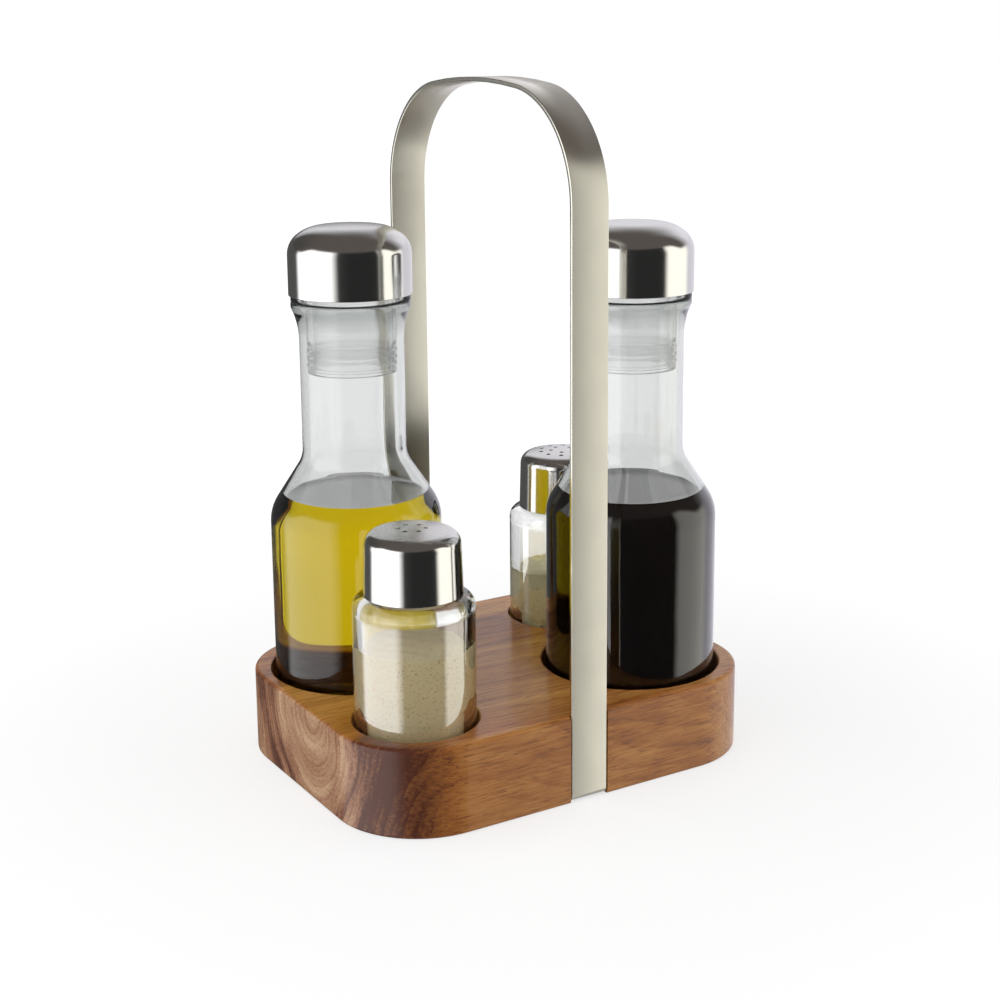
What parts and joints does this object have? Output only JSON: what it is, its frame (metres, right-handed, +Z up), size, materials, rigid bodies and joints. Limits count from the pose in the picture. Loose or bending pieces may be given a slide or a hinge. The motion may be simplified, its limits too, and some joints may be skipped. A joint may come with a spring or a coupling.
{
  "type": "cruet set",
  "caption": "Wooden block with a steel strap handle that carries stoppered oil and vinegar bottles and glass shakers with perforated steel caps.",
  "frame": {"origin": "centre of the wooden block's underside, on the surface that it stands on", "axes": "+Z up, +X along the block's long side; the strap handle lies in the plane x = 0, with its legs at -Y and +Y"},
  "size_m": [0.156, 0.12, 0.237],
  "materials": {
    "wood": "oiled hardwood, satin",
    "strap_steel": "brushed stainless steel",
    "screw_steel": "plain steel",
    "cap_steel": "polished stainless steel with fine turning marks",
    "glass": "clear glass",
    "oil": "golden oil",
    "vinegar": "dark vinegar",
    "front_powder": "pale ground powder with dark specks",
    "back_powder": "pale grains",
    "stopper_plastic": "milky translucent plastic",
    "seal": "milky silicone rubber"
  },
  "bodies": {
    "stand": {"wood_base": "wood", "handle_strap": "strap_steel", "handle_screws": "screw_steel"},
    "oil_bottle": {"oil_bottle_glass": "glass", "oil_fill": "oil"},
    "oil_stopper": {"oil_stopper_plug": "stopper_plastic", "oil_stopper_seal": "seal", "oil_cap_shell": "cap_steel"},
    "vinegar_bottle": {"vinegar_bottle_glass": "glass", "vinegar_fill": "vinegar"},
    "vinegar_stopper": {"vinegar_stopper_plug": "stopper_plastic", "vinegar_stopper_seal": "seal", "vinegar_cap_shell": "cap_steel"},
    "front_shaker": {"front_shaker_glass": "glass", "front_powder": "front_powder"},
    "front_shaker_lid": {"front_shaker_cap": "cap_steel", "front_shaker_liner": "stopper_plastic"},
    "back_shaker": {"back_shaker_glass": "glass", "back_powder": "back_powder"},
    "back_shaker_lid": {"back_shaker_cap": "cap_steel", "back_shaker_liner": "stopper_plastic"}
  },
  "joints": [
    {"name": "oil_bottle_lift", "type": "slide", "parent": "stand", "child": "oil_bottle", "axis": [0, 0, 1], "range_m": [0, 0.12]},
    {"name": "oil_stopper_pull", "type": "slide", "parent": "oil_bottle", "child": "oil_stopper", "axis": [0, 0, 1], "range_m": [0, 0.04]},
    {"name": "vinegar_bottle_lift", "type": "slide", "parent": "stand", "child": "vinegar_bottle", "axis": [0, 0, 1], "range_m": [0, 0.12]},
    {"name": "vinegar_stopper_pull", "type": "slide", "parent": "vinegar_bottle", "child": "vinegar_stopper", "axis": [0, 0, 1], "range_m": [0, 0.04]},
    {"name": "front_shaker_lift", "type": "slide", "parent": "stand", "child": "front_shaker", "axis": [0, 0, 1], "range_m": [0, 0.09]},
    {"name": "front_shaker_lid_pull", "type": "slide", "parent": "front_shaker", "child": "front_shaker_lid", "axis": [0, 0, 1], "range_m": [0, 0.025]},
    {"name": "back_shaker_lift", "type": "slide", "parent": "stand", "child": "back_shaker", "axis": [0, 0, 1], "range_m": [0, 0.09]},
    {"name": "back_shaker_lid_pull", "type": "slide", "parent": "back_shaker", "child": "back_shaker_lid", "axis": [0, 0, 1], "range_m": [0, 0.025]}
  ]
}
